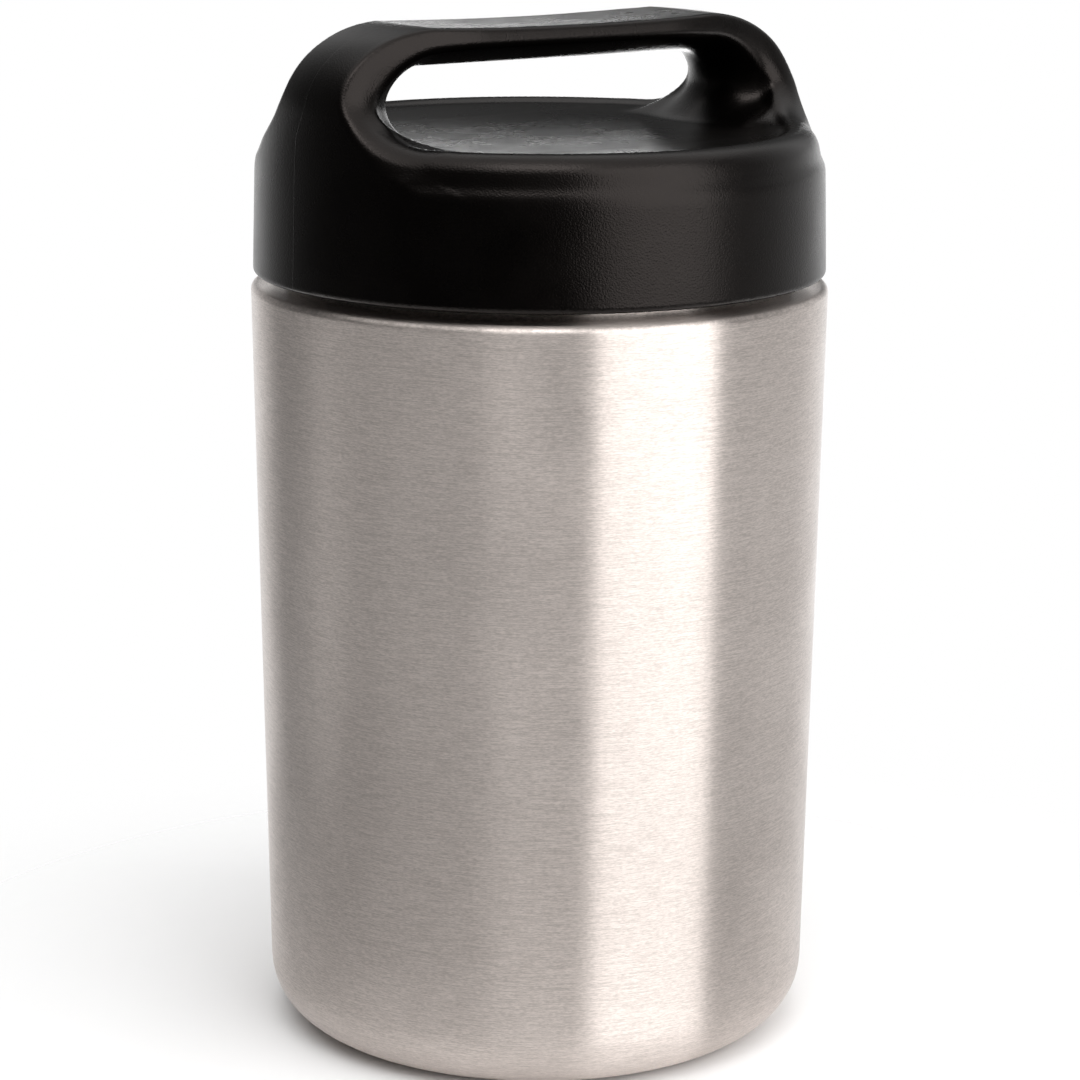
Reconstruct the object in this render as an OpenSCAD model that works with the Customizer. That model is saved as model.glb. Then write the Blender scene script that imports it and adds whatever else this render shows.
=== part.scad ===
// Insulated food jar.
//
// A steel jar with a vacuum between its two walls, and a lid that screws on its neck.  The
// lid's outer moulding rises into a handle that arches across the top.  Its inner moulding
// has the thread and the plug that fills the mouth, with foam between the two.
//
// Millimetres, +Z up.  The origin is the middle of the foot, on the surface that the jar
// stands on, and the handle runs along X.

/* [Jar] */
// Outer radius of the jar at its shoulder
jar_r = 44.5; // [36:0.5:56]
// How much smaller the radius is at the foot
jar_taper = 2.1; // [0:0.1:3]
// Height of the shoulder above the surface that the jar stands on
jar_h = 118; // [90:1:150]
// Radius of the rounded foot
foot_round = 9.8; // [6:0.2:12]
// Radius of the rounding at the shoulder's edge
shoulder_round = 1; // [0.8:0.1:2.5]
// Width of the flat shoulder, from its edge in to the neck
shoulder_w = 6.3; // [5.2:0.1:9]
// Height of the neck, from the shoulder to the rim
neck_h = 16; // [13:0.5:22]
// Thickness of the steel in both walls
steel_t = 0.5; // [0.4:0.05:0.8]

/* [Vacuum wall] */
// Gap between the outer wall and the vessel, at the shoulder
wall_gap = 6.4; // [5:0.2:9]
// Gap between the two walls in the neck
neck_gap = 1.1; // [0.6:0.1:1.6]
// Gap between the base plate and the vessel's floor
floor_gap = 7; // [6:0.5:12]
// Radius of the rounding round the vessel's floor
vessel_round = 9; // [5:0.5:12]
// Thickness of the pressed rim that the gasket seats on
rim_t = 0.9; // [0.7:0.1:1.4]
// Thickness of the copper foil
foil_t = 0.15; // [0.1:0.05:0.3]

/* [Base] */
// Width of the foot's flat between its rounding and the weld round the base plate
foot_flat_w = 1.6; // [0.6:0.1:3]
// Width of the flat ring that the jar stands on
ring_w = 1.5; // [1:0.1:3]
// Height of the recess in the base
recess_h = 2.5; // [1.8:0.1:4]
// Radius of the dimple round the pump-out port
dimple_r = 5; // [4:0.5:8]
// Depth of that dimple
dimple_h = 1.2; // [1:0.1:2]
// Radius of the pump-out port
port_r = 1; // [0.6:0.1:1.5]
// Radius of the solder bead that closes the port
bead_r = 3; // [2.5:0.1:3.8]
// Height of that bead
bead_h = 0.7; // [0.5:0.1:0.9]
// Thickness of the disc that covers the port
cover_t = 0.4; // [0.3:0.05:0.8]
// Radius where the disc steps down, which stiffens it
cover_step_r = 17; // [12:0.5:20]
// Distance of the getter's middle from the edge of the recess
getter_inset = 10.5; // [9:0.5:12]
// Radius of the getter's pellet
getter_r = 4; // [2.5:0.5:5]
// Height of the getter's pellet
getter_h = 2.5; // [1.5:0.1:3]

/* [Lid] */
// Gap between the jar's shoulder and the lid's lower edge
lid_gap = 1.8; // [1:0.1:3]
// How far the lid's lower edge is set back from the jar's side
lid_setback = 0.35; // [0:0.05:1.5]
// How much smaller the skirt's radius is at its top
skirt_taper = 0.45; // [0:0.05:1.5]
// Radius of the skirt's soft edge, where the lip begins
soft_edge_r = 4; // [2:0.5:6]
// Thickness of the skirt
skirt_t = 2.25; // [1.6:0.05:3]
// Height of the lip, from the skirt's soft edge to the lip's crest
lip_h = 5.8; // [4:0.1:8]
// How far the lip's face leans in over that height
lip_lean = 2.1; // [1:0.1:3]
// Width of the lip, from the skirt's soft edge to the crest's inner edge
lip_w = 5.2; // [4.8:0.1:7]
// Radius of the rounding over the lip
lip_round = 3.2; // [1.5:0.1:3.4]
// How far the crest stands above the edge of the deck
lip_rise = 0.8; // [0.4:0.1:2]
// Width of the slope from the crest down to the deck
lip_slope = 1.3; // [1:0.1:2]
// Depth of the deck's shallow dish
dish_h = 1; // [0.4:0.1:2]
// Thickness of the deck, in the middle of the dish
deck_t = 2.1; // [1.6:0.1:3]

/* [Handle] */
// Height of the handle's top above the lip's crest
handle_h = 16.1; // [14:0.1:24]
// Width of the handle, from front to back
handle_w = 19.6; // [14:0.2:24]
// How far the handle's top dips in the middle
handle_dip = 0.6; // [0.2:0.1:1.5]
// Thickness of the grip in the middle
grip_t = 5.6; // [4.5:0.1:7]
// Thickness of each leg where it is thinnest
leg_t = 9.8; // [8:0.1:12]
// Radius of the handle's outer corners
handle_round = 15; // [10:0.5:16]
// Radius of the rounding across the grip and the legs, inside the handle
grip_round = 15.3; // [12.5:0.1:20]
// How much narrower the handle's ends are at the top of the legs than at the skirt's edge
end_lean = 0.6; // [0.2:0.1:1.5]
// Radius of the flare where a leg's sides run out into the lip
flare_r = 6; // [3:0.5:8]
// Wall left outside the pocket that cores out each leg
pocket_wall = 2.2; // [1.6:0.1:3]
// Depth of that pocket, from the outside of the leg in
pocket_d = 4; // [2.5:0.1:4.4]
// Width of that pocket, from front to back
pocket_w = 12; // [8:0.5:13]

/* [Liner, gasket and foam] */
// Height of the thread's ridge on the neck
thread_h = 1.2; // [0.8:0.1:1.6]
// Clearance between the thread's crest and the liner
thread_gap = 0.3; // [0.2:0.05:0.6]
// Thickness of the liner
liner_t = 1.8; // [1.4:0.1:2.5]
// How far the liner's lower edge is set back from the lid's
liner_setback = 0.8; // [0.3:0.1:2]
// Height of the weld rib between the liner and the lid's shell
rib_h = 0.6; // [0.4:0.1:1]
// Depth of the plug below the rim
plug_h = 11.8; // [8:0.2:16]
// Clearance between the plug and the mouth
plug_gap = 1.3; // [0.8:0.1:2]
// Thickness of the gasket when the lid is closed
gasket_t = 2; // [1.5:0.1:3]
// How far the gasket reaches past the outside of the neck
gasket_reach = 0.6; // [0.2:0.1:0.9]

/* [Hidden] */
$fn = 144;

// Clearances between pieces that are assembled and don't move
weld_gap = 0.05;      // between the base plate's edge and the foot
foil_gap = 0.05;      // between the foil and the vessel
cover_gap = 0.3;      // round the cover disc
seat_gap = 0.15;      // between the liner and the shell's skirt
foam_gap = 0.2;       // round and above the foam
gasket_gap = 0.3;     // between the gasket and the plug
clip_gap = 0.3;       // between the getter and each side of its clip
past = 1;             // how far a cutter reaches past what it cuts

// Small radii
neck_round = 1.2;     // where the shoulder turns up into the neck
moulded_r = 0.6;      // on the lid's small moulded edges
deck_round = 2;       // where the crest's slope meets the deck
cavity_round = 1;     // in the top corner of the shell and the liner's shoulder
large_fn = 1440;      // facets of an arc with a radius of several hundred

// Radii of the jar, from the outside in
neck_r = jar_r - shoulder_w;
vessel_r = jar_r - steel_t - wall_gap;
vessel_neck_r = neck_r - steel_t - neck_gap;
mouth_r = vessel_neck_r - steel_t;
base_r = jar_r - jar_taper - foot_round - foot_flat_w;
recess_r = base_r - ring_w;
getter_x = recess_r - getter_inset;

// Heights of the jar, from the foot up
base_top = recess_h + steel_t;
vessel_z = base_top + floor_gap;
rim_z = jar_h + neck_h;
vessel_neck_low = 9;  // below the shoulder, where the vessel starts to narrow
vessel_neck_high = 4; // below the shoulder, where it is as narrow as the neck
foil_low = vessel_z + vessel_round;
foil_high = jar_h - vessel_neck_low - past;

// Radii of the lid
lid_r = jar_r - lid_setback;
edge_r = lid_r - skirt_taper;
cavity_r = edge_r - skirt_t;
crest_r = edge_r - lip_w;
deck_r = crest_r - lip_slope;

// Heights of the lid, each from the one below it
lid_z = jar_h + lid_gap;
ceiling_z = rim_z + gasket_t;
liner_top = ceiling_z + liner_t;
deck_under = liner_top + rib_h;
deck_z = deck_under + deck_t;
deck_edge_z = deck_z + dish_h;
crest_z = deck_edge_z + lip_rise;
edge_z = crest_z - lip_h;

// The handle: its ends, its top and the opening under it
handle_top = crest_z + handle_h;
end_r = edge_r - end_lean;
grip_under = handle_top - handle_dip - grip_t;
hole_sink = 0.2;      // how far its cutter reaches into the deck
hole_r = (grip_under - deck_z + hole_sink) / 2;
hole_z = grip_under - hole_r;
hole_x = end_r - leg_t - hole_r;
hole_w = 14;          // how far the cutter reaches to the front and back
flare_low = 1.5;      // height above the skirt's edge where the flare has run out

// The lid's liner
bore_r = neck_r + thread_h + thread_gap;
liner_r = cavity_r - seat_gap;
plug_r = mouth_r - plug_gap;
plug_z = rim_z - plug_h;
rib_r = (bore_r + plug_r) / 2;
rib_w = 0.8;

function unit(v) = v / norm(v);
// Radius of a circle's arc from its chord's half-length and its rise
function arc_r(half, rise) = (half * half + rise * rise) / (2 * rise);

// Corner i of an outline with its two neighbours, and its half angle
function corner(points, i) =
  let (n = len(points))
  [points[(i + n - 1) % n], points[i], points[(i + 1) % n]];
function half_angle(c) = acos(unit(c[0] - c[1]) * unit(c[2] - c[1])) / 2;
// Middle of the arc of radius r that rounds a corner, and the two ends of that arc
function arc_middle(c, r) =
  c[1] + unit(unit(c[0] - c[1]) + unit(c[2] - c[1])) * r / sin(half_angle(c));
function arc_ends(c, r) =
  [for (k = [0, 2]) c[1] + unit(c[k] - c[1]) * r / tan(half_angle(c))];

// Half of an outline for rotate_extrude.  The corners in rounds, each as [number of the
// corner, radius], are outside corners that are rounded off.  Those in fillets are inside
// corners that are filled out to a chamfer and then hollowed to the radius.
module half_outline(points, rounds = [], fillets = []) {
  filled = [
    for (i = [0:len(points) - 1])
      let (f = [for (g = fillets) if (g[0] == i) g[1]])
        each len(f) == 0 ? [points[i]] : arc_ends(corner(points, i), f[0])
  ];
  difference() {
    polygon(filled);
    for (f = fillets)
      translate(arc_middle(corner(points, f[0]), f[1])) circle(f[1]);
    for (f = rounds) {
      c = corner(points, f[0]);
      ends = arc_ends(c, f[1]);
      middle = arc_middle(c, f[1]);
      difference() {
        polygon([ends[0], c[1] + (c[1] - middle) * 0.2, ends[1]]);
        translate(middle) circle(f[1]);
      }
    }
  }
}

// ---- The jar ---------------------------------------------------------------

// Half outline of the jar's outside, t in from its surface
module jar_outline(t) {
  half_outline(
    [
      [0, t],
      [jar_r - jar_taper - t, t],
      [jar_r - t, jar_h - t],
      [neck_r - t, jar_h - t],
      [neck_r - t, rim_z + t],
      [0, rim_z + t]
    ],
    rounds = [[1, foot_round - t], [2, shoulder_round - t]],
    fillets = [[3, neck_round + t]]
  );
}

// Half outline of the vessel's outside, t in from its surface
module vessel_outline(t) {
  half_outline(
    [
      [0, vessel_z + t],
      [vessel_r - t, vessel_z + t],
      [vessel_r - t, jar_h - vessel_neck_low],
      [vessel_neck_r - t, jar_h - vessel_neck_high],
      [vessel_neck_r - t, rim_z + t],
      [0, rim_z + t]
    ],
    rounds = [[1, vessel_round - t]]
  );
}

// The outer wall: foot, side, shoulder and neck in one drawn piece
module outer_shell() {
  color([0.74, 0.72, 0.70])
    rotate_extrude()
      difference() {
        jar_outline(0);
        jar_outline(steel_t);
        square([base_r + weld_gap, 2 * steel_t]);
        translate([0, rim_z - rim_t]) square([neck_r + past, 2 * rim_t]);
      }
}

// The food vessel, with its mouth turned out over the top of the neck
module inner_vessel() {
  color([0.78, 0.77, 0.75])
    rotate_extrude()
      union() {
        difference() {
          vessel_outline(0);
          vessel_outline(steel_t);
          translate([0, rim_z - rim_t / 2]) square([neck_r, 2 * rim_t]);
        }
        half_outline(
          [
            [mouth_r, rim_z - rim_t],
            [neck_r, rim_z - rim_t],
            [neck_r, rim_z],
            [mouth_r, rim_z]
          ],
          rounds = [[2, rim_t / 2], [3, rim_t / 2]]
        );
      }
}

// The pressed bottom of the outer wall: the ring that it stands on, the recess and the
// dimple with the pump-out port
module base_plate() {
  t = steel_t;
  color([0.70, 0.69, 0.68])
    rotate_extrude()
      half_outline(
        [
          [port_r, recess_h + dimple_h],
          [dimple_r, recess_h + dimple_h],
          [dimple_r, recess_h],
          [recess_r, recess_h],
          [recess_r, 0],
          [base_r, 0],
          [base_r, t],
          [recess_r + t, t],
          [recess_r + t, recess_h + t],
          [dimple_r + t, recess_h + t],
          [dimple_r + t, recess_h + dimple_h + t],
          [port_r, recess_h + dimple_h + t]
        ],
        rounds = [[4, t], [8, 2 * t]],
        fillets = [[3, t], [7, t / 2]]
      );
}

// The disc over the port, with a raised ring that stiffens it
module base_cover() {
  cover_r = recess_r - cover_gap - steel_t;
  low = recess_h - cover_t;
  color([0.72, 0.71, 0.70])
    rotate_extrude()
      half_outline(
        [
          [0, low],
          [cover_step_r, low],
          [cover_step_r + cover_t, low - cover_t],
          [cover_r, low - cover_t],
          [cover_r, recess_h],
          [0, recess_h]
        ],
        rounds = [[3, cover_t], [2, cover_t]]
      );
}

// The bead of solder that closes the port
module port_seal() {
  ceiling = recess_h + dimple_h;
  ball_r = arc_r(bead_r, bead_h);
  color([0.55, 0.55, 0.58])
    union() {
      intersection() {
        translate([0, 0, ceiling - bead_h + ball_r]) sphere(ball_r);
        translate([0, 0, ceiling - bead_h]) cylinder(r = bead_r, h = bead_h);
      }
      translate([0, 0, ceiling - bead_h / 2])
        cylinder(r = port_r - weld_gap, h = bead_h / 2 + steel_t);
    }
}

// The copper wrap on the vessel's side
module copper_foil() {
  inner = vessel_r + foil_gap;
  foil_h = foil_high - foil_low;
  color([0.80, 0.48, 0.32])
    translate([0, 0, foil_low])
      difference() {
        cylinder(r = inner + foil_t, h = foil_h);
        translate([0, 0, -past]) cylinder(r = inner, h = foil_h + 2 * past);
      }
}

// The pellet that takes up gas left between the walls
module getter() {
  color([0.35, 0.34, 0.34])
    translate([getter_x, 0, base_top])
      rotate_extrude()
        half_outline(
          [[0, 0], [getter_r, 0], [getter_r, getter_h], [0, getter_h]],
          rounds = [[2, getter_h / 5]]
        );
}

// The strap over the getter, with a foot each side that is welded to the base plate
module getter_clip() {
  strap_t = 0.3;
  strap_w = getter_r;
  foot_l = 2.5;
  arch_y = getter_r + clip_gap;
  foot_y = arch_y + strap_t + foot_l;
  top = getter_h + strap_t;
  color([0.75, 0.75, 0.75])
    translate([getter_x - strap_w / 2, 0, base_top])
      rotate([90, 0, 90])
        linear_extrude(strap_w)
          difference() {
            union() {
              translate([-foot_y, 0]) square([2 * foot_y, strap_t]);
              translate([-arch_y - strap_t, 0]) square([2 * (arch_y + strap_t), top]);
            }
            translate([-arch_y, -past]) square([2 * arch_y, past + getter_h]);
          }
}

// ---- The lid ---------------------------------------------------------------

// The silicone ring between the liner's ceiling and the rim
module lid_gasket() {
  inner = plug_r + gasket_gap;
  outer = neck_r + gasket_reach;
  round_r = gasket_t / 4;
  color([0.86, 0.86, 0.84])
    rotate_extrude()
      half_outline(
        [[inner, rim_z], [outer, rim_z], [outer, ceiling_z], [inner, ceiling_z]],
        rounds = [for (i = [0:3]) [i, round_r]]
      );
}

// Skirt, lip and dished deck as one solid of revolution, with nothing hollowed out yet
module lid_dome() {
  dish_r = arc_r(deck_r, dish_h);
  rotate_extrude()
    difference() {
      half_outline(
        [
          [0, lid_z],
          [lid_r, lid_z],
          [edge_r, edge_z],
          [edge_r - lip_lean, crest_z],
          [crest_r, crest_z],
          [deck_r, deck_edge_z],
          [0, deck_edge_z]
        ],
        rounds = [[1, moulded_r], [2, soft_edge_r], [3, lip_round], [4, moulded_r]],
        fillets = [[5, deck_round]]
      );
      translate([0, deck_z + dish_r]) circle(dish_r, $fn = large_fn);
    }
}

// Outline of the arch in the plane of the handle, filled in under it
module arch_outline() {
  side = [
    [edge_r, edge_z],
    [end_r, handle_top - handle_round],
    [end_r, handle_top],
    [0, handle_top],
    [0, edge_z]
  ];
  dip_r = arc_r(end_r - handle_round, handle_dip);
  difference() {
    for (m = [0, 1])
      mirror([m, 0]) half_outline(side, rounds = [[2, handle_round]]);
    translate([0, handle_top - handle_dip + dip_r]) circle(dip_r, $fn = large_fn);
  }
}

// Outline of the arch from its end: straight sides that flare out into the lip
module arch_side_outline() {
  half_w = handle_w / 2;
  flare_z = edge_z + flare_low;
  difference() {
    translate([-half_w - flare_r, edge_z])
      square([2 * (half_w + flare_r), handle_top - edge_z]);
    for (s = [-1, 1]) {
      translate([s * (half_w + flare_r), flare_z + flare_r]) circle(flare_r);
      translate([s * (half_w + flare_r) - flare_r, flare_z + flare_r])
        square([2 * flare_r, handle_top]);
    }
  }
}

// The opening under the grip.  It is a long hole with round ends, narrowest in the middle
// of the handle and opening to the front and back like a trumpet.
module grip_opening() {
  reach = grip_round - sqrt(grip_round * grip_round - hole_w * hole_w);
  rotate([90, 0, 90])
    translate([0, hole_z, -hole_x])
      linear_extrude(2 * hole_x)
        difference() {
          translate([-hole_w, -hole_r - reach]) square([2 * hole_w, 2 * (hole_r + reach)]);
          for (s = [-1, 1])
            translate([0, s * (hole_r + grip_round)]) circle(grip_round);
        }
  for (s = [-1, 1])
    translate([s * hole_x, 0, hole_z])
      rotate([90, 0, 0])
        rotate_extrude()
          difference() {
            translate([0, -hole_w]) square([hole_r + reach, 2 * hole_w]);
            translate([hole_r + grip_round, 0]) circle(grip_round);
          }
}

// The arch before it joins the dome: its end faces follow the round of the skirt
module arch() {
  intersection() {
    translate([0, hole_w + flare_r, 0])
      rotate([90, 0, 0])
        linear_extrude(2 * (hole_w + flare_r)) arch_outline();
    rotate([90, 0, 90])
      translate([0, 0, -lid_r])
        linear_extrude(2 * lid_r) arch_side_outline();
    rotate_extrude()
      half_outline(
        [
          [0, edge_z],
          [edge_r, edge_z],
          [end_r, handle_top - handle_round],
          [end_r, handle_top + past],
          [0, handle_top + past]
        ],
        rounds = [[3, handle_round + past]]
      );
  }
}

// The lid's outer moulding: skirt, lip, deck and handle in one piece
module lid_shell() {
  pocket_x = end_r - pocket_wall - pocket_d / 2;
  color([0.06, 0.055, 0.05])
    difference() {
      union() {
        lid_dome();
        difference() {
          arch();
          grip_opening();
        }
      }
      rotate_extrude()
        half_outline(
          [
            [0, lid_z - past],
            [cavity_r, lid_z - past],
            [cavity_r, deck_under],
            [0, deck_under]
          ],
          rounds = [[2, cavity_round]]
        );
      for (s = [-1, 1])
        translate([s * pocket_x - pocket_d / 2, -pocket_w / 2, deck_under - past])
          cube([pocket_d, pocket_w, hole_z - deck_under + past]);
    }
}

// The lid's inner moulding: threaded skirt, ceiling over the rim, and plug
module lid_liner() {
  color([0.10, 0.10, 0.10])
    rotate_extrude()
      union() {
        half_outline(
          [
            [0, plug_z],
            [plug_r, plug_z],
            [plug_r, ceiling_z],
            [bore_r, ceiling_z],
            [bore_r, lid_z + liner_setback],
            [liner_r, lid_z + liner_setback],
            [liner_r, liner_top],
            [plug_r - liner_t, liner_top],
            [plug_r - liner_t, plug_z + liner_t],
            [0, plug_z + liner_t]
          ],
          rounds = [[1, liner_t], [5, liner_t / 4], [6, cavity_round]],
          fillets = [[8, liner_t / 2]]
        );
        translate([rib_r - rib_w / 2, ceiling_z + liner_t / 2])
          square([rib_w, liner_t / 2 + rib_h]);
      }
}

// The foam that fills the plug, up to the underside of the deck
module lid_foam() {
  foam_r = plug_r - liner_t - foam_gap;
  low = plug_z + liner_t;
  color([0.93, 0.92, 0.88])
    rotate_extrude()
      half_outline(
        [[0, low], [foam_r, low], [foam_r, deck_under - foam_gap], [0, deck_under - foam_gap]],
        rounds = [[1, liner_t]]
      );
}

outer_shell();
inner_vessel();
base_plate();
base_cover();
port_seal();
copper_foil();
getter();
getter_clip();
lid_gasket();
lid_shell();
lid_liner();
lid_foam();
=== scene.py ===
"""Looks of the insulated food jar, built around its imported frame. Sizes are in metres."""
import math

import bmesh
import bpy
import numpy as np
from mathutils import Matrix, Vector


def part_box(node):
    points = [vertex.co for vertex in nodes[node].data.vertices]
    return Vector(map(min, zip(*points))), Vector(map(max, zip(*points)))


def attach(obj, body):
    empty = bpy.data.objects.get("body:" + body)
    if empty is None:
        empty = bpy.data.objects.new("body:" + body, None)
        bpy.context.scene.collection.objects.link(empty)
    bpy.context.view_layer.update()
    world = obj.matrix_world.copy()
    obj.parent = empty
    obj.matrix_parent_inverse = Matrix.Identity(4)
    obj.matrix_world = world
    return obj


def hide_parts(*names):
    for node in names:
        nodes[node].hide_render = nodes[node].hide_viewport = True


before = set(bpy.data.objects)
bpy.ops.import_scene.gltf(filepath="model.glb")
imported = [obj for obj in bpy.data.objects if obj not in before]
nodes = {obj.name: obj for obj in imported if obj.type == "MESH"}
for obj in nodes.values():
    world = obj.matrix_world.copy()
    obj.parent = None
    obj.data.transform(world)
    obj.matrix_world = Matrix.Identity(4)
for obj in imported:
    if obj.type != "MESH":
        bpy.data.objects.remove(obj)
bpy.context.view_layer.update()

# ---- The outer wall --------------------------------------------------------
# A stainless tube drawn to a slight taper, with a rounded foot, a flat shoulder and a
# neck that has its thread rolled in. The outside is brushed while the jar spins, so the
# scratches run round it.

JAR_R = 0.0445
JAR_TAPER = 0.0021
JAR_H = 0.118
FOOT_ROUND = 0.0098
SHOULDER_ROUND = 0.0010
STEEL_T = 0.0005
NECK_R = 0.0382
NECK_ROUND = 0.0012
NECK_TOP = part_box("outer_shell")[1].z
BASE_HOLE_R = 0.03105

THREAD_LEAD = 0.009
THREAD_STARTS = 2
THREAD_H = 0.0012
THREAD_LOW = JAR_H + 0.0036
NECK_RIDGE_HALF = 0.00125
RUN_OUT = math.radians(24)     # in which each start rises and fades

TURN_STEPS = 288               # points round a turned piece
ARC_STEP = math.radians(7.5)   # the longest step along a rounded corner
WALL_STEP = 0.0006             # the longest step along the wall's outline
MERGE_WITHIN = 1e-7
SHARP_EDGE = math.radians(35)  # faces that meet at more than this keep a crisp edge


def rounded(corners):
    """Points of a closed outline from (r, z, radius) corners, with round stretches as arcs."""
    points = []
    for i, (r, z, radius) in enumerate(corners):
        here = Vector((r, z))
        if radius == 0:
            points.append(here)
            continue
        before = (Vector(corners[i - 1][:2]) - here).normalized()
        after = (Vector(corners[(i + 1) % len(corners)][:2]) - here).normalized()
        half = before.angle(after) / 2
        middle = here + (before + after).normalized() * radius / math.sin(half)
        start = here + before * radius / math.tan(half) - middle
        turn = start.angle_signed(here + after * radius / math.tan(half) - middle)
        count = max(2, math.ceil(abs(turn) / ARC_STEP))
        for k in range(count + 1):
            points.append(middle + Matrix.Rotation(-turn * k / count, 2) @ start)
    return points


def divided(points, longest):
    """The same closed outline with no stretch longer than longest."""
    fine = []
    for i, here in enumerate(points):
        after = points[(i + 1) % len(points)]
        count = max(1, math.ceil((after - here).length / longest))
        fine += [here.lerp(after, k / count) for k in range(count)]
    return fine


def placed(name, data):
    """A new object in the scene, which is a piece, a lamp or the camera by its data."""
    made = bpy.data.objects.new(name, data)
    bpy.context.scene.collection.objects.link(made)
    return made


def turned(name, outline, swell):
    """A closed piece turned about Z. swell gives the extra radius at an angle and height."""
    angles = np.arange(TURN_STEPS) * 2 * math.pi / TURN_STEPS
    radii = np.array([p.x for p in outline])
    heights = np.array([p.y for p in outline])
    grid_r = radii[None, :] + swell(angles[:, None], heights[None, :], radii[None, :])
    grid = np.stack(
        [
            grid_r * np.cos(angles)[:, None],
            grid_r * np.sin(angles)[:, None],
            np.repeat(heights[None, :], TURN_STEPS, 0),
        ],
        -1,
    )
    here = np.arange(grid_r.size).reshape(grid_r.shape)
    beside = np.roll(here, -1, 0)
    faces = np.stack([here, beside, np.roll(beside, -1, 1), np.roll(here, -1, 1)], -1)
    mesh = bpy.data.meshes.new(name)
    mesh.from_pydata(grid.reshape(-1, 3).tolist(), [], faces.reshape(-1, 4).tolist())
    # The points that fall together on the axis become one.
    work = bmesh.new()
    work.from_mesh(mesh)
    bmesh.ops.remove_doubles(work, verts=work.verts, dist=MERGE_WITHIN)
    bmesh.ops.recalc_face_normals(work, faces=work.faces)
    work.to_mesh(mesh)
    work.free()
    mesh.shade_smooth()
    mesh.set_sharp_from_angle(angle=SHARP_EDGE)
    return placed(name, mesh)


def thread_ridge(angle, height, low, half_width):
    """Height of a two-start right-handed ridge, from 0 to 1, fading at each start's ends."""
    ridge = np.zeros(np.broadcast(angle, height).shape)
    for start in range(THREAD_STARTS):
        along = np.mod(angle - start * 2 * math.pi / THREAD_STARTS, 2 * math.pi)
        away = np.abs(height - low - THREAD_LEAD * along / (2 * math.pi))
        swell = 0.5 + 0.5 * np.cos(math.pi * np.clip(away / half_width, 0, 1))
        fade = np.clip(np.minimum(along, 2 * math.pi - along) / RUN_OUT, 0, 1)
        ridge = np.maximum(ridge, swell * fade * fade * (3 - 2 * fade))
    return ridge


def neck_thread(angle, height, radius):
    """The ridge on both faces of the neck, because it is rolled in from the inside."""
    on_neck = np.clip((radius - NECK_R + 3 * STEEL_T) / STEEL_T, 0, 1) * (height > JAR_H)
    return THREAD_H * thread_ridge(angle, height, THREAD_LOW, NECK_RIDGE_HALF) * on_neck


def wall_side(inset):
    """Corners of the outer wall's outline, from foot to neck, inset from the outside."""
    return [
        (JAR_R - JAR_TAPER - inset, inset, FOOT_ROUND - inset),
        (JAR_R - inset, JAR_H - inset, SHOULDER_ROUND - inset),
        (NECK_R - inset, JAR_H - inset, NECK_ROUND + inset),
    ]


wall_outline = rounded(
    [(BASE_HOLE_R, 0, 0)]
    + wall_side(0)
    + [(NECK_R, NECK_TOP, 0), (NECK_R - STEEL_T, NECK_TOP, 0)]
    + wall_side(STEEL_T)[::-1]
    + [(BASE_HOLE_R, STEEL_T, 0)]
)
outer_wall = turned("outer_wall", divided(wall_outline, WALL_STEP), neck_thread)


def new_group(name, inputs, outputs):
    """A node group with named numbers going in and out, and the nodes for its two ends."""
    group = bpy.data.node_groups.new(name, "ShaderNodeTree")
    for in_out, labels in (("INPUT", inputs), ("OUTPUT", outputs)):
        for label in labels:
            group.interface.new_socket(label, in_out=in_out, socket_type="NodeSocketFloat")
    return group, group.nodes.new("NodeGroupInput"), group.nodes.new("NodeGroupOutput")


def node(tree, kind, values=None, links=None, **settings):
    """Adds a node to a tree, sets its input values and links other nodes' sockets to it."""
    made = tree.nodes.new(kind)
    for key, value in settings.items():
        setattr(made, key, value)
    for key, value in (values or {}).items():
        made.inputs[key].default_value = value
    for key, socket in (links or {}).items():
        tree.links.new(socket, made.inputs[key])
    return made


def maths(tree, operation, *terms):
    """The result of a sum, product and so on of numbers or other nodes' sockets."""
    made = tree.nodes.new("ShaderNodeMath")
    made.operation = operation
    for i, term in enumerate(terms):
        if isinstance(term, (int, float)):
            made.inputs[i].default_value = term
        else:
            tree.links.new(term, made.inputs[i])
    return made.outputs[0]


def mapped(tree, value, span, onto=(0.0, 1.0), curve="LINEAR"):
    """A value taken from one span, given by its two ends, onto another."""
    made = node(
        tree, "ShaderNodeMapRange",
        {"From Min": span[0], "From Max": span[1], "To Min": onto[0], "To Max": onto[1]},
        {"Value": value}, interpolation_type=curve,
    )
    return made.outputs[0]


def two_tone(tree, factor, first, second):
    """A colour between two, each of which is three numbers or another node's socket."""
    made = node(tree, "ShaderNodeMix", links={"Factor": factor}, data_type="RGBA")
    for key, color in (("A", first), ("B", second)):
        if isinstance(color, tuple):
            made.inputs[key].default_value = (*color, 1)
        else:
            tree.links.new(color, made.inputs[key])
    return made.outputs["Result"]


# Scratches that run round a spun piece, on its side and on its flat faces alike. Short
# fine ones lie over longer and broader streaks, and a cloud wanders over both.
STREAK_SHARE = 0.4
STREAK_SCALE = (0.2, 0.2, 0.7)

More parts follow.
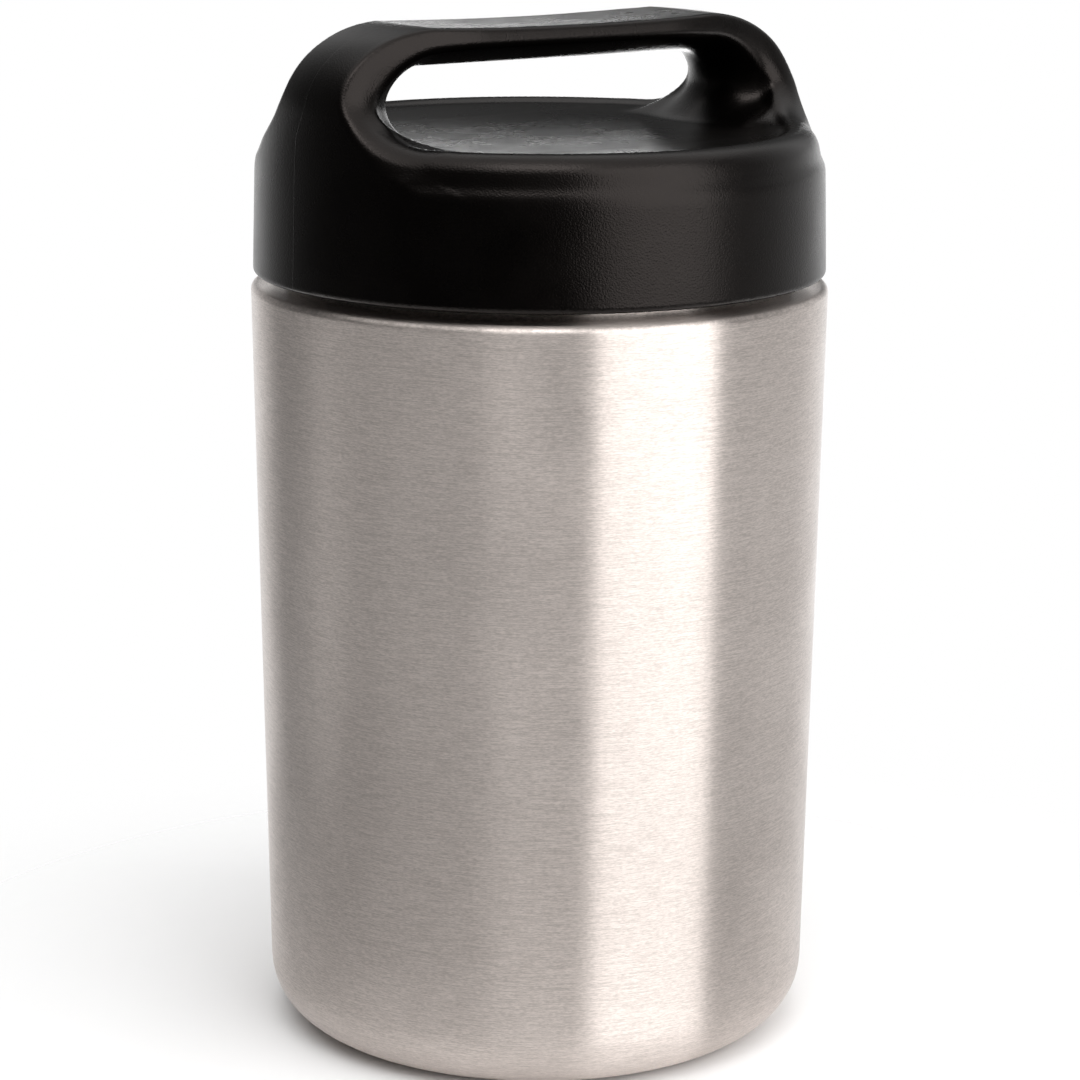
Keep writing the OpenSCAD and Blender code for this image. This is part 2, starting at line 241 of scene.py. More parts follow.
brushed, brushed_in, brushed_out = new_group(
    "scratches round the axis", ["Per Metre Across", "Per Metre Along"], ["Scratch", "Cloud"]
)
place = node(brushed, "ShaderNodeTexCoord").outputs["Object"]
x, y, z = node(brushed, "ShaderNodeSeparateXYZ", links={0: place}).outputs
from_axis = maths(
    brushed, "SQRT",
    maths(brushed, "ADD", maths(brushed, "MULTIPLY", x, x), maths(brushed, "MULTIPLY", y, y)),
)
per_metre_across, per_metre_along = brushed_in.outputs[:2]
stretched = node(
    brushed, "ShaderNodeCombineXYZ",
    links={
        "X": maths(brushed, "MULTIPLY", x, per_metre_along),
        "Y": maths(brushed, "MULTIPLY", y, per_metre_along),
        "Z": maths(brushed, "MULTIPLY", maths(brushed, "ADD", z, from_axis), per_metre_across),
    },
)
short = node(
    brushed, "ShaderNodeTexNoise",
    {"Scale": 1.0, "Detail": 2.0, "Roughness": 0.7}, {"Vector": stretched.outputs[0]},
)
longer = node(
    brushed, "ShaderNodeVectorMath", {1: STREAK_SCALE}, {0: stretched.outputs[0]},
    operation="MULTIPLY",
)
streak = node(
    brushed, "ShaderNodeTexNoise",
    {"Scale": 1.0, "Detail": 2.0, "Roughness": 0.6}, {"Vector": longer.outputs[0]},
)
scratch = node(
    brushed, "ShaderNodeMix", {"Factor": STREAK_SHARE},
    {"A": short.outputs["Fac"], "B": streak.outputs["Fac"]},
)
cloud = node(
    brushed, "ShaderNodeTexNoise",
    {"Scale": 55.0, "Detail": 3.0, "Roughness": 0.55}, {"Vector": place},
)
brushed.links.new(scratch.outputs[0], brushed_out.inputs["Scratch"])
brushed.links.new(cloud.outputs["Fac"], brushed_out.inputs["Cloud"])

SCRATCH_SPAN = (0.4, 0.6)  # of the scratches' height, over which their colour changes
CLOUD_SPAN = (0.3, 0.7)    # of a noise, over which the roughness changes
STEEL_WANDER = 0.04        # how far the roughness goes to each side of its middle
QUARTER_TURN = 0.25


def surface(name, metallic=0.0):
    """A new material, with its node tree and its shader."""
    material = bpy.data.materials.new(name)
    material.use_nodes = True
    shader = material.node_tree.nodes["Principled BSDF"]
    shader.inputs["Metallic"].default_value = metallic
    return material, material.node_tree, shader


def dress(tree, shader, relief, span, light, dark, cloud, rough, strength, depth):
    """Gives a shader the colour, roughness and bump of a finish.

    relief is the height that is cut or moulded in, up to depth. The colour goes from dark
    to light over a span of it, and the roughness follows cloud between rough's two ends.
    """
    shade = two_tone(tree, mapped(tree, relief, span), dark, light)
    bump = node(
        tree, "ShaderNodeBump", {"Strength": strength, "Distance": depth}, {"Height": relief}
    )
    tree.links.new(shade, shader.inputs["Base Color"])
    tree.links.new(mapped(tree, cloud, CLOUD_SPAN, rough), shader.inputs["Roughness"])
    tree.links.new(bump.outputs[0], shader.inputs["Normal"])


def steel(name, light, dark, rough, anisotropy, across, along, cut):
    """Steel with scratches that run round it, so many to a metre across and along them.

    light and dark are its shades between and in the scratches, and cut is their depth.
    """
    material, tree, shader = surface(name, metallic=1.0)
    shader.inputs["Anisotropic"].default_value = anisotropy
    shader.inputs["Anisotropic Rotation"].default_value = QUARTER_TURN
    grain = node(
        tree, "ShaderNodeGroup", {"Per Metre Across": across, "Per Metre Along": along},
        node_tree=brushed,
    )
    dress(
        tree, shader, grain.outputs["Scratch"], SCRATCH_SPAN, light, dark,
        grain.outputs["Cloud"], (rough - STEEL_WANDER, rough + STEEL_WANDER),
        strength=0.6, depth=cut,
    )
    tangent = node(tree, "ShaderNodeTangent", direction_type="RADIAL", axis="Z")
    tree.links.new(tangent.outputs[0], shader.inputs["Tangent"])
    return material


def give(piece, material):
    """Puts one material on all of a piece."""
    if not piece.data.materials:
        piece.data.materials.append(material)
    for i in range(len(piece.data.materials)):
        piece.data.materials[i] = material


outer_steel = steel(
    "brushed outer steel", light=(0.77, 0.695, 0.652), dark=(0.53, 0.475, 0.442), rough=0.365,
    anisotropy=1.0, across=9500.0, along=1300.0, cut=0.000005,
)
give(outer_wall, outer_steel)
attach(outer_wall, "jar")
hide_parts("outer_shell")

# ---- The food vessel, its copper wrap and the clip -------------------------
# The inner wall is drawn from thinner sheet and left satin inside, where it is only
# cleaned and passivated. A copper wrap on its outside keeps radiant heat in, and the
# strap that holds the getter is cut from the same sheet.

vessel_steel = steel(
    "satin vessel steel", light=(0.68, 0.67, 0.65), dark=(0.60, 0.59, 0.57), rough=0.34,
    anisotropy=0.4, across=1400.0, along=90.0, cut=0.000008,
)
give(nodes["inner_vessel"], vessel_steel)
give(nodes["getter_clip"], vessel_steel)

NOISE_SPAN = (0.35, 0.65)  # of a noise, over which the colour changes
SPECKLED_WANDER = 0.06


def speckled(name, light, dark, size, rough, height, metallic=0.0):
    """A finish whose colour and roughness wander between two shades, over a fine bump.

    size is about that of its specks and height is how far they stand out.
    """
    material, tree, shader = surface(name, metallic)
    place = node(tree, "ShaderNodeTexCoord").outputs["Object"]
    speck = node(
        tree, "ShaderNodeTexNoise",
        {"Scale": 1 / size, "Detail": 5.0, "Roughness": 0.6}, {"Vector": place},
    ).outputs["Fac"]
    dress(
        tree, shader, speck, NOISE_SPAN, light, dark,
        speck, (rough + SPECKLED_WANDER, rough - SPECKLED_WANDER), strength=0.5, depth=height,
    )
    return material


copper = speckled(
    "copper foil", light=(0.80, 0.45, 0.31), dark=(0.66, 0.34, 0.22), size=0.012, rough=0.26,
    height=0.0002, metallic=1.0,
)
give(nodes["copper_foil"], copper)

# ---- The base --------------------------------------------------------------
# A pressed plate closes the outer wall. Its recess holds the pump-out port, a bead of
# solder over it and the thin disc that covers both. The getter's pellet of pressed
# powder lies on the plate, inside the vacuum.

base_steel = steel(
    "pressed base steel", light=(0.62, 0.60, 0.58), dark=(0.53, 0.52, 0.50), rough=0.32,
    anisotropy=0.5, across=1900.0, along=120.0, cut=0.00001,
)
give(nodes["base_plate"], base_steel)
give(nodes["base_cover"], base_steel)

solder = speckled(
    "dull solder", light=(0.50, 0.50, 0.52), dark=(0.36, 0.36, 0.38), size=0.0011, rough=0.45,
    height=0.00008, metallic=1.0,
)
give(nodes["port_seal"], solder)

getter_powder = speckled(
    "pressed getter powder", light=(0.14, 0.14, 0.14), dark=(0.07, 0.07, 0.07), size=0.0004,
    rough=0.85, height=0.00005,
)
give(nodes["getter"], getter_powder)

# ---- The gasket ------------------------------------------------------------
# A ring of white silicone that the rim is pressed into. It is moulded matt, and slips
# over the plug so that it comes off for washing.

silicone = speckled(
    "white silicone", light=(0.77, 0.76, 0.73), dark=(0.71, 0.70, 0.67), size=0.003, rough=0.5,
    height=0.00004,
)
give(nodes["lid_gasket"], silicone)

# ---- The lid's liner -------------------------------------------------------
# The inner moulding of black polypropylene. Its skirt has the thread that takes the
# neck's, with a ridge of the same height, and its plug hangs in the mouth.

LINER_LOW = 0.1206
LINER_TOP = 0.1378
LINER_R = 0.0413
LINER_T = 0.0018
LINER_ROUND = 0.0003
LINER_TOP_ROUND = 0.001
BORE_R = 0.0397
BORE_TOP = 0.136
PLUG_R = 0.0348
PLUG_LOW = 0.1222
RIB_R = (BORE_R + PLUG_R) / 2
RIB_HALF = 0.0004
RIB_TOP = 0.1384
LINER_RIDGE_HALF = 0.001
LINER_THREAD_LOW = THREAD_LOW - THREAD_LEAD / THREAD_STARTS / 2
LINER_STEP = 0.0007  # the longest step along the liner's outline


def liner_thread(angle, height, radius):
    """The ridge on the bore alone, fading below the bore's top."""
    on_bore = np.clip((BORE_R + LINER_T / 4 - radius) / (LINER_T / 4), 0, 1) * (radius > PLUG_R)
    inside = np.clip((BORE_TOP - height) / LINER_T, 0, 1)
    return -THREAD_H * on_bore * inside * thread_ridge(
        angle, height, LINER_THREAD_LOW, LINER_RIDGE_HALF
    )


liner_outline = rounded([
    (0, PLUG_LOW, 0),
    (PLUG_R, PLUG_LOW, LINER_T),
    (PLUG_R, BORE_TOP, LINER_ROUND),
    (BORE_R, BORE_TOP, LINER_ROUND),
    (BORE_R, LINER_LOW, LINER_ROUND),
    (LINER_R, LINER_LOW, LINER_T / 4),
    (LINER_R, LINER_TOP, LINER_TOP_ROUND),
    (RIB_R + RIB_HALF, LINER_TOP, 0),
    (RIB_R + RIB_HALF, RIB_TOP, 0),
    (RIB_R - RIB_HALF, RIB_TOP, 0),
    (RIB_R - RIB_HALF, LINER_TOP, 0),
    (PLUG_R - LINER_T, LINER_TOP, LINER_ROUND),
    (PLUG_R - LINER_T, PLUG_LOW + LINER_T, LINER_T / 2),
    (0, PLUG_LOW + LINER_T, 0),
])
liner = turned("threaded_liner", divided(liner_outline, LINER_STEP), liner_thread)

# Moulded grain: the fine spark-eroded texture of the tool, and the faint flow of the melt.
grained, grained_in, grained_out = new_group("moulded grain", ["Per Metre"], ["Grain", "Flow"])
place = node(grained, "ShaderNodeTexCoord").outputs["Object"]
pits = node(
    grained, "ShaderNodeTexNoise", {"Detail": 0.0},
    {"Vector": place, "Scale": grained_in.outputs["Per Metre"]},
)
flow = node(
    grained, "ShaderNodeTexNoise", {"Scale": 70.0, "Detail": 4.0, "Roughness": 0.6},
    {"Vector": place},
)
grained.links.new(pits.outputs["Fac"], grained_out.inputs["Grain"])
grained.links.new(flow.outputs["Fac"], grained_out.inputs["Flow"])

PLASTIC_SHEEN = 0.22
PLASTIC_TINT = (1.0, 0.88, 0.83, 1)
PLASTIC_WANDER = 0.04


def black_plastic(name, light, dark, rough, per_metre, depth):
    """Moulded black plastic, light and dark being its shades on and between the grains."""
    material, tree, shader = surface(name)
    shader.inputs["Specular IOR Level"].default_value = PLASTIC_SHEEN
    shader.inputs["Specular Tint"].default_value = PLASTIC_TINT
    grain = node(tree, "ShaderNodeGroup", {"Per Metre": per_metre}, node_tree=grained)
    dress(
        tree, shader, grain.outputs["Grain"], NOISE_SPAN, light, dark,
        grain.outputs["Flow"], (rough - PLASTIC_WANDER, rough + PLASTIC_WANDER),
        strength=0.5, depth=depth,
    )
    return material


liner_plastic = black_plastic(
    "liner plastic", light=(0.024, 0.024, 0.024), dark=(0.016, 0.016, 0.016), rough=0.38,
    per_metre=1500.0, depth=0.00001,
)
give(liner, liner_plastic)
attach(liner, "lid")
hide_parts("lid_liner")

# ---- The foam --------------------------------------------------------------
# A disc of white closed-cell foam, dropped into the plug before the lid's two mouldings
# are welded together.

foam = speckled(
    "closed-cell foam", light=(0.87, 0.85, 0.80), dark=(0.78, 0.76, 0.71), size=0.0009,
    rough=0.9, height=0.00012,
)
give(nodes["lid_foam"], foam)

# ---- The lid's shell -------------------------------------------------------
# One moulding of warm black polypropylene: a skirt, a soft lip round a dished deck, and
# the handle that grows out of the lip and arches over the deck. The opening under the
# handle flares to the front and back, which leaves a narrow band along each edge.

# Sizes here are in millimetres. Those that end in EASE are the reach over which two
# surfaces are rounded into each other.
LID_LOW = 119.8
LID_LOW_EASE = 0.85
LID_R = 44.15
EDGE_R = 43.7
EDGE_Z = 136.5
CREST_Z = 142.3
CREST_EASE = 0.6
LIP_R = 41.6
LIP_EASE = 2.57
CREST_R = 38.5
DECK_R = 37.2
DECK_EDGE_Z = 141.5
DECK_Z = 140.5
DECK_EASE = 0.3
CAVITY_R = 41.45
CAVITY_TOP = 138.4
CAVITY_EASE = 1.4

HANDLE_TOP = 158.4
HANDLE_END_R = 43.4
CORNER_R = 26.0           # where the handle's rounded end begins, from the axis
CORNER_Z = 145.5
DIP = 0.55
DIP_HALF = 26.4
HALF_W = 9.7
ASIDE = (0.3, -0.9)       # the handle's middle at its top, from the lid's axis
ASIDE_TOP = 148           # the height from which on it stands that far aside
WAIST = 1.6               # how much narrower each side is at the handle's corners
WAIST_X = (17, 37)        # the stretch from the middle in which it narrows
FLARE_R = 14.9            # of the curve in which each leg widens towards the lip
FLARE_TOP = 152.4
FLARE_PART = 0.985        # how much of that curve's radius it falls before it runs straight
FLARE_X = (28, 37)        # the stretch from the middle in which the flare sets in
PILLOW = 0.7              # how far each side falls back toward the outer skin
PILLOW_DEPTH = 3.0
HOLE_X = 25.4
HOLE_ASIDE = 0.5          # the opening's middle, from the handle's
HOLE_Z = 146.3
HOLE_R = 5.9
HOLE_DEEPER = 2.5         # how much further down it reaches, so that the deck is left clear
BAR_TRUMPET = 18.5        # the radius of the opening's flare, under the bar
LEG_TRUMPET = 10.0        # on the front half, which the mould opens wider than the rear half
REAR_TRUMPET = 14.0
TRUMPET_Y = 8.6           # how far from the middle plane the opening goes on widening
BAR_TRUMPET_FURTHER = 4   # and how much further it does so under the bar
TRUMPET_EASE = 1.6
MOULD_DRAFT = 1.0         # offset of the front half's curve, which leaves a ridge where they meet
SIDE_EASE = 0.9

DECK_BLEND = 3            # how broadly the handle runs into the deck
LIP_BLEND = 5             # and how much more broadly into the lip
LIP_BLEND_R = (24, 33)
SKIN_EASE = 0.6           # of the handle's edges along the outer skin
LIP_SOFTER = 1.2          # and how much softer they are where it leaves the lip
SOFTER_FROM = (136, 138)
SOFTER_UNTIL = (138, 142)
SPREAD = 3                # how far beside the handle the blend may lift the lip
SPREAD_Y = (11, 24)       # the stretch from its middle plane in which that ends
LEG_ROOM = 30             # the same for the leg itself, which is free to rise
LEG_Y = (9, 13)
SPREAD_EASE = 0.2

LEAST_DISTANCE = 0.001    # keeps a division by a distance from failing at its middle


def eased_max(a, b, reach):
    """The larger of two distances, with the crease between their surfaces rounded."""
    lap = np.maximum(reach - np.abs(a - b), 0) / reach
    return np.maximum(a, b) + lap * lap * reach / 4


def eased_min(a, b, reach):
    """The smaller of two distances, with the corner between their surfaces filled."""
    return -eased_max(-a, -b, reach)


def eased_step(value, low, high):
    """0 below low, 1 above high and a smooth rise between them."""
    t = np.clip((value - low) / (high - low), 0, 1)
    return t * t * (3 - 2 * t)


def slope_distance(r, z, foot, head):
    """Distance outside the cone through two (r, z) points, the second above the first."""
    run, rise = head[0] - foot[0], head[1] - foot[1]
    return ((r - foot[0]) * rise - (z - foot[1]) * run) / math.hypot(run, rise)


def handle_skin(x, r, z):
    """Distance outside the outer skin of the skirt and of the handle's ends and top."""
    side = np.maximum(
        slope_distance(r, z, (LID_R, LID_LOW), (EDGE_R, EDGE_Z)),
        slope_distance(r, z, (EDGE_R, EDGE_Z), (HANDLE_END_R, CORNER_Z)),
    )
    wide, tall = HANDLE_END_R - CORNER_R, HANDLE_TOP - CORNER_Z
    out = np.maximum(r - CORNER_R, 0) / wide
    up = np.maximum(z - CORNER_Z, 0) / tall
    away = np.hypot(out, up)
    steep = np.hypot(out / wide, up / tall) / np.maximum(away, LEAST_DISTANCE)
    end = np.where(z > CORNER_Z, (away - 1) / np.maximum(steep, 1 / wide), -tall)
    dip_r = (DIP_HALF**2 + DIP**2) / (2 * DIP)
    top = z - (HANDLE_TOP - DIP) - x * x / (2 * dip_r)
    return np.maximum(np.maximum(side, end), top)


def dome(r, z):
    """Distance outside the skirt, lip and dished deck, without the handle."""
    lip = slope_distance(r, z, (EDGE_R, EDGE_Z), (LIP_R, CREST_Z))
    dish_r = DECK_R**2 / (2 * (DECK_EDGE_Z - DECK_Z))
    deck = DECK_Z + r * r / (2 * dish_r)
    slope = DECK_EDGE_Z + (r - DECK_R) * (CREST_Z - DECK_EDGE_Z) / (CREST_R - DECK_R)
    ground = eased_min(eased_max(deck, slope, DECK_EASE), CREST_Z + 0 * r, CREST_EASE)
    return eased_max(lip, z - ground, LIP_EASE)


def arch(x, y, skin, z):
    """Distance outside the sides of the handle and its flared opening."""
    front = y < 0
    away_y = np.abs(y)
    waist = WAIST * eased_step(np.abs(x), *WAIST_X)
    drop = np.maximum(FLARE_TOP - z, 0)
    curved = np.minimum(drop, FLARE_PART * FLARE_R)
    level = np.sqrt(FLARE_R**2 - curved**2)
    flare = FLARE_R - level + (drop - curved) * curved / level
    pillow = PILLOW * np.maximum(1 - np.maximum(-skin, 0) / PILLOW_DEPTH, 0) ** 2
    side = away_y - HALF_W + waist - flare * eased_step(np.abs(x), *FLARE_X) + pillow
    across = np.maximum(np.abs(x - HOLE_ASIDE) - HOLE_X, 0)
    away = np.hypot(across, z - HOLE_Z)
    toward_leg = across / np.maximum(away, LEAST_DISTANCE)
    legness = np.where(z < HOLE_Z, 1, toward_leg**2)
    toward_deck = np.maximum(HOLE_Z - z, 0) / np.maximum(away, LEAST_DISTANCE)
    deep = HOLE_DEEPER * toward_deck * (1 - toward_leg) ** 2
    trumpet = BAR_TRUMPET + (np.where(front, LEG_TRUMPET, REAR_TRUMPET) - BAR_TRUMPET) * legness
    out = np.maximum(trumpet - (away - HOLE_R - deep), 0)
    reach = eased_min(away_y, TRUMPET_Y + BAR_TRUMPET_FURTHER * (1 - legness), TRUMPET_EASE)
    mouth = np.hypot(out, reach + MOULD_DRAFT * front) - trumpet
    return eased_max(side, mouth, SIDE_EASE)


def lid_field(x, y, z):
    """Distance outside the whole moulding, negative inside it."""
    r = np.hypot(x, y)
    shift = eased_step(z, EDGE_Z, ASIDE_TOP)
    along, beside = x - ASIDE[0] * shift, y - ASIDE[1] * shift
    skin = handle_skin(along, np.hypot(along, beside), z)
    blend = DECK_BLEND + LIP_BLEND * eased_step(r, *LIP_BLEND_R)
    ground = dome(r, z)
    body = eased_min(arch(along, beside, skin, z), ground, blend)
    softer = LIP_SOFTER * (1 - eased_step(z, *SOFTER_UNTIL)) * eased_step(z, *SOFTER_FROM)
    crease = SKIN_EASE + softer
    away = np.abs(beside)
    room = SPREAD * (1 - eased_step(away, *SPREAD_Y)) + LEG_ROOM * (1 - eased_step(away, *LEG_Y))
    lip = eased_max(ground, skin, crease)
    body = eased_max(eased_max(body, skin, crease), lip - room, SPREAD_EASE)
    body = eased_max(body, LID_LOW - z, LID_LOW_EASE)
    cavity = eased_max(r - CAVITY_R, z - CAVITY_TOP, CAVITY_EASE)
    return np.maximum(body, -cavity)


SLOPE_STEP = 0.01


def slopes(points):
    """The field at each point, and its slope along X, Y and Z."""
    value = lid_field(*points.T)
    slope = np.empty_like(points)
    for i in range(3):
        shift = np.zeros(3)
        shift[i] = SLOPE_STEP
        rise = lid_field(*(points + shift).T) - lid_field(*(points - shift).T)
        slope[:, i] = rise / (2 * SLOPE_STEP)
    return value, slope


def skinned(low, high, cell):
    """Points and four-sided faces of the field's surface, one point to each cell it cuts."""
    axes = [np.arange(low[i], high[i] + cell, cell) for i in range(3)]
    value = lid_field(*np.meshgrid(*axes, indexing="ij"))
    shape = np.array(value.shape) - 1
    solid = value < 0
    corners = [(i, j, k) for i in (0, 1) for j in (0, 1) for k in (0, 1)]

    def cells(grid, corner):
        return grid[tuple(slice(c, c + n) for c, n in zip(corner, shape))]

    count = sum(cells(solid, c).astype(int) for c in corners)
    cut = np.argwhere((count > 0) & (count < len(corners)))
    number = -np.ones(shape, int)
    number[tuple(cut.T)] = np.arange(len(cut))

    # Each point is the mean of the places where the surface crosses its cell's edges.
    total, crossings = np.zeros((len(cut), 3)), np.zeros(len(cut))
    for a in corners:
        for i in range(3):
            if a[i]:
                continue
            b = tuple(1 if k == i else a[k] for k in range(3))
            va, vb = value[tuple((cut + a).T)], value[tuple((cut + b).T)]
            crossed = (va < 0) != (vb < 0)
            part = np.where(crossed, va / np.where(crossed, va - vb, 1), 0)
            total += crossed[:, None] * (np.array(a) + part[:, None] * (np.array(b) - a))
            crossings += crossed
    points = np.array(low) + cell * (cut + total / crossings[:, None])

    # Each crossed edge of the grid gets a face between the four cells round it.
    faces = []
    for i in range(3):
        first = [slice(None)] * 3
        second = [slice(None)] * 3
        first[i], second[i] = slice(0, -1), slice(1, None)
        inside, beyond = solid[tuple(first)], solid[tuple(second)]
        j, k = (i + 1) % 3, (i + 2) % 3
        for leaving in (True, False):
            edges = np.argwhere((inside & ~beyond) if leaving else (~inside & beyond))
            ring = []
            for dj, dk in ((0, 0), (-1, 0), (-1, -1), (0, -1)):
                around = edges.copy()
                around[:, j] += dj
                around[:, k] += dk
                ring.append(number[tuple(around.T)])
            faces.append(np.stack(ring if leaving else ring[::-1], -1))
    return points, np.concatenate(faces)


CELL = 0.55                        # about the distance between the skin's points
BLANK_LOW = (-45.1, -45.1, 118.9)  # corners of the block that the lid lies in
BLANK_HIGH = (45.1, 45.1, 159.2)
SETTLE_ROUNDS = 4                  # how often the points are moved onto the surface
LEAST_SLOPE_SQUARED = 0.04
MM = 0.001

points, faces = skinned(BLANK_LOW, BLANK_HIGH, CELL)
for _ in range(SETTLE_ROUNDS):
    value, slope = slopes(points)
    slope_squared = np.maximum((slope * slope).sum(1), LEAST_SLOPE_SQUARED)
    points -= np.clip(value / slope_squared, -CELL / 2, CELL / 2)[:, None] * slope
normals = slopes(points)[1]
normals /= np.linalg.norm(normals, axis=1)[:, None]
shell_mesh = bpy.data.meshes.new("handled_lid")
shell_mesh.from_pydata((points * MM).tolist(), [], faces.tolist())
shell_mesh.shade_smooth()
shell_mesh.normals_split_custom_set_from_vertices(normals.tolist())
shell = placed("handled_lid", shell_mesh)

# The seam of the mould's two halves shows on the handle's ends and along its top. It runs
# a little behind the middle low down and a little before it higher up.
SEAM_LOW = (0.142, 0.001)      # (height, y) where it begins to cross over
SEAM_HIGH = (0.148, -0.001)
SEAM_HALF = (0.00004, 0.00015)
SEAM_DEPTH = 0.00003
SEAM_END_X = 0.0365            # it shows further out than this or higher than the next
SEAM_TOP_Z = 0.1535


def part_line(material):
    """Adds the seam of the mould's halves to a material, over the bump that it has."""
    tree = material.node_tree
    normal = tree.nodes["Principled BSDF"].inputs["Normal"]
    place = node(tree, "ShaderNodeTexCoord").outputs["Object"]
    x, y, z = node(tree, "ShaderNodeSeparateXYZ", links={0: place}).outputs
    middle = mapped(
        tree, z, (SEAM_LOW[0], SEAM_HIGH[0]), (SEAM_LOW[1], SEAM_HIGH[1]), "SMOOTHSTEP"
    )
    away = maths(tree, "ABSOLUTE", maths(tree, "SUBTRACT", y, middle))
    seam = mapped(tree, away, SEAM_HALF, (1.0, 0.0), "SMOOTHSTEP")
    outwards = maths(
        tree, "MAXIMUM",
        maths(tree, "ABSOLUTE", x), maths(tree, "SUBTRACT", z, SEAM_TOP_Z - SEAM_END_X),
    )
    shown = maths(tree, "GREATER_THAN", outwards, SEAM_END_X)
    groove = node(
        tree, "ShaderNodeBump", {"Strength": 0.5, "Distance": SEAM_DEPTH},
        {"Height": maths(tree, "MULTIPLY", seam, shown), "Normal": normal.links[0].from_socket},
    )
    tree.links.new(groove.outputs[0], normal)


lid_plastic = black_plastic(
    "lid plastic", light=(0.0008, 0.0006, 0.0005), dark=(0.0003, 0.0002, 0.0002), rough=0.28,
    per_metre=4000.0, depth=0.00005,
)
part_line(lid_plastic)
give(shell, lid_plastic)
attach(shell, "lid")
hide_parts("lid_shell")

# ---- Stage: camera, floor, surroundings and lamps --------------------------
# A round pale table in a small white studio that is bright behind the jar and dim behind
# the camera, with a tall soft lamp to the right and a small one over the front.

CAMERA_AZIMUTH = math.radians(-36.0)
CAMERA_ASIDE = 0.0003
CAMERA_DISTANCE = 0.5238
CAMERA_HEIGHT = 0.2004
CAMERA_DOWN = math.radians(13.29)
CAMERA_ROLL = math.radians(0.334)
CAMERA_LENS = 114.0

camera_data = bpy.data.cameras.new("camera")
camera_data.lens = CAMERA_LENS
camera_data.sensor_width = 36
camera = placed("camera", camera_data)
toward = Matrix.Rotation(CAMERA_AZIMUTH, 4, "Z")
camera.matrix_world = (
    toward
    @ Matrix.Translation((CAMERA_ASIDE, -CAMERA_DISTANCE, CAMERA_HEIGHT))
    @ Matrix.Rotation(math.pi / 2 - CAMERA_DOWN, 4, "X")
    @ Matrix.Rotation(CAMERA_ROLL, 4, "Z")
)
bpy.context.scene.camera = camera

FLOOR_R = 0.3
FLOOR_STEPS = 128
FLOOR_FADE = (0.045, 0.15)  # from the axis, where the table fades into the white round it

floor_mesh = bpy.data.meshes.new("floor")
work = bmesh.new()
bmesh.ops.create_circle(work, cap_ends=True, radius=FLOOR_R, segments=FLOOR_STEPS)
work.to_mesh(floor_mesh)
work.free()
floor = placed("floor", floor_mesh)
pale, tree, shader = surface("pale table")
shader.inputs["Base Color"].default_value = (0.9, 0.9, 0.9, 1)
shader.inputs["Roughness"].default_value = 0.9
shader.inputs["Specular IOR Level"].default_value = 0.1
place = node(tree, "ShaderNodeTexCoord").outputs["Object"]
away = node(tree, "ShaderNodeVectorMath", links={0: place}, operation="LENGTH")
near = mapped(tree, away.outputs["Value"], FLOOR_FADE, (1.0, 0.0), "SMOOTHERSTEP")
tree.links.new(near, shader.inputs["Alpha"])
floor_mesh.materials.append(pale)

# How bright the studio is in each direction from the jar, in degrees to the right of the
# camera: its walls, the table below them, the space above them and the ceiling. The wall
# behind the jar, which closes the round at both ends, is the brightest.
WALLS = [
    (-180, 5.6), (-170, 1.3), (-150, 1.0), (-128, 0.3), (-105, 0.09), (-60, 0.025), (0, 0.0),
    (20, 0.03), (80, 0.35), (115, 0.6), (131, 0.75), (150, 1.1), (170, 1.5), (180, 5.6),
]
TABLE = [
    (-180, 1.5), (-108, 2.9), (-88, 1.5), (-68, 1.7), (-43, 1.5), (0, 1.1), (50, 1.3),
    (80, 2.4), (180, 1.5),
]
SPACE = [
    (-180, 0.05), (-165, 0.6), (-150, 0.3), (-128, 0.12), (-112, 0.1), (-90, 0.08),
    (90, 0.12), (112, 0.5), (145, 0.75), (165, 0.15), (180, 0.05),
]
CEILING = [(-180, 1.4), (-95, 1.3), (0, 2.2), (60, 1.4), (180, 1.4)]
# Where each gives way to the next, as the sine of the height over the horizon.
TABLE_EDGE = (-0.34, -0.6)
WALL_TOP = (0.03, 0.092)
CEILING_EDGE = (0.6, 0.8)
WHITE = (1, 1, 1)

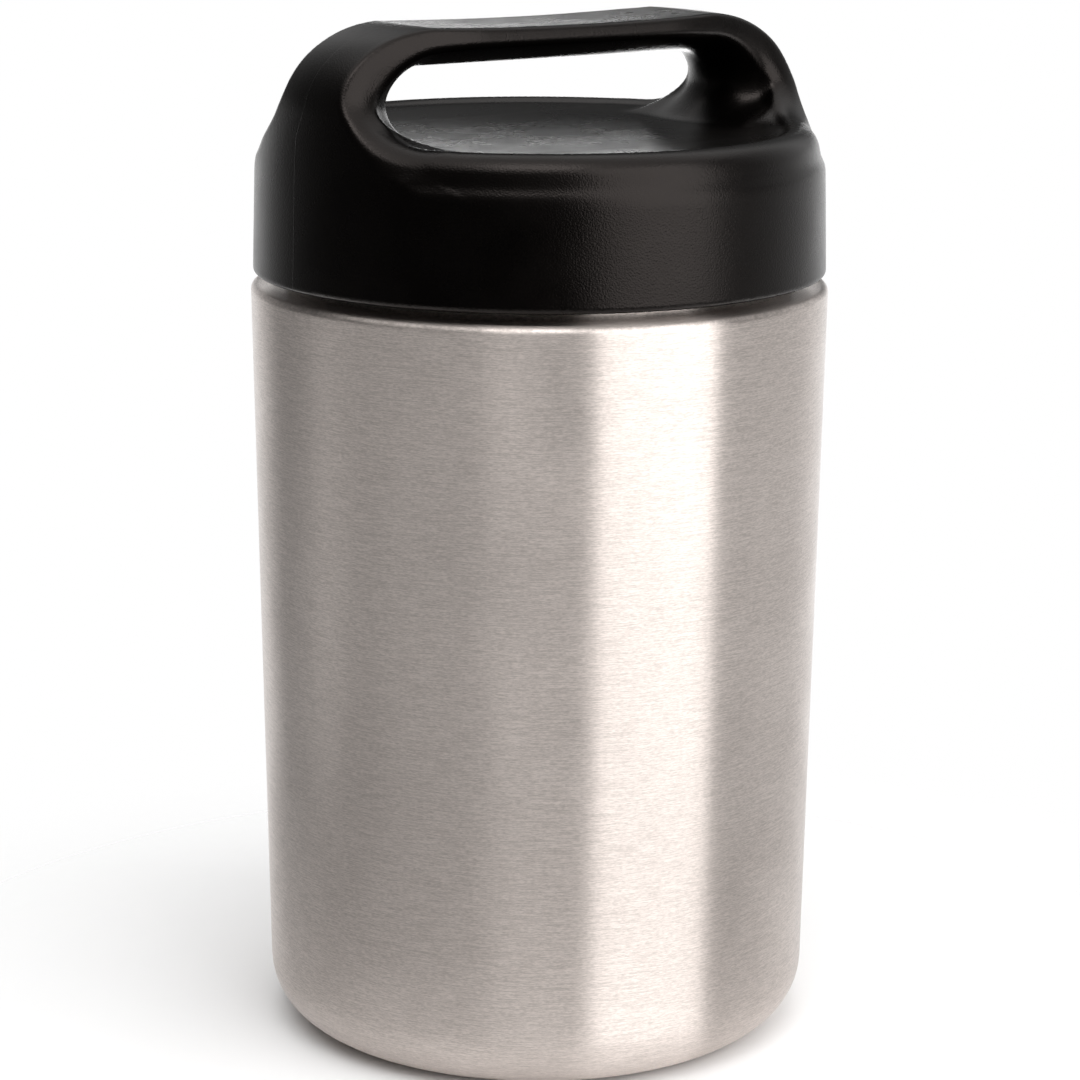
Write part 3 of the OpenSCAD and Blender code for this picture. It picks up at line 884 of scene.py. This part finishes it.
world = bpy.data.worlds.new("studio")
bpy.context.scene.world = world
world.use_nodes = True
tree = world.node_tree
direction = node(tree, "ShaderNodeTexCoord").outputs["Generated"]
from_camera = node(
    tree, "ShaderNodeVectorRotate", {"Angle": -CAMERA_AZIMUTH}, {"Vector": direction},
    rotation_type="Z_AXIS",
)
x, y, z = node(tree, "ShaderNodeSeparateXYZ", links={0: from_camera.outputs[0]}).outputs
angle = maths(tree, "ARCTAN2", x, maths(tree, "MULTIPLY", y, -1.0))
portion = mapped(tree, angle, (-math.pi, math.pi))


def round_levels(levels):
    """Brightness by direction, from (degrees to the right of the camera, brightness) pairs."""
    ramp = node(tree, "ShaderNodeValToRGB", links={0: portion})
    stops = ramp.color_ramp.elements
    for i, (degrees, level) in enumerate(levels):
        position = (degrees + 180) / 360
        stop = stops[i] if i < 2 else stops.new(position)
        stop.position = position
        stop.color = (level, level, level, 1)
    return ramp.outputs[0]


studio = round_levels(WALLS)
for edge, levels in ((TABLE_EDGE, TABLE), (WALL_TOP, SPACE), (CEILING_EDGE, CEILING)):
    part = mapped(tree, z, edge, curve="SMOOTHSTEP")
    studio = two_tone(tree, part, studio, round_levels(levels))
seen = node(tree, "ShaderNodeLightPath").outputs["Is Camera Ray"]
tree.links.new(two_tone(tree, seen, studio, WHITE), tree.nodes["Background"].inputs[0])


def soft_lamp(name, azimuth, distance, height, wide, tall, power, down):
    """A soft lamp. azimuth is to the right of the camera and down its tilt, in degrees."""
    data = bpy.data.lights.new(name, "AREA")
    data.shape = "RECTANGLE"
    data.size = wide
    data.size_y = tall
    data.energy = power
    lamp = placed(name, data)
    lamp.visible_camera = False
    lamp.matrix_world = (
        toward
        @ Matrix.Rotation(math.radians(azimuth), 4, "Z")
        @ Matrix.Translation((0, -distance, height))
        @ Matrix.Rotation(math.radians(90 - down), 4, "X")
    )


soft_lamp("tall lamp", azimuth=48, distance=1.3, height=0.55, wide=1.32, tall=1.5, power=18.5,
          down=16)
soft_lamp("lamp over the front", azimuth=-4, distance=0.7, height=1.14, wide=0.6, tall=0.45,
          power=3.0, down=55)

bpy.context.scene.view_settings.view_transform = "Standard"
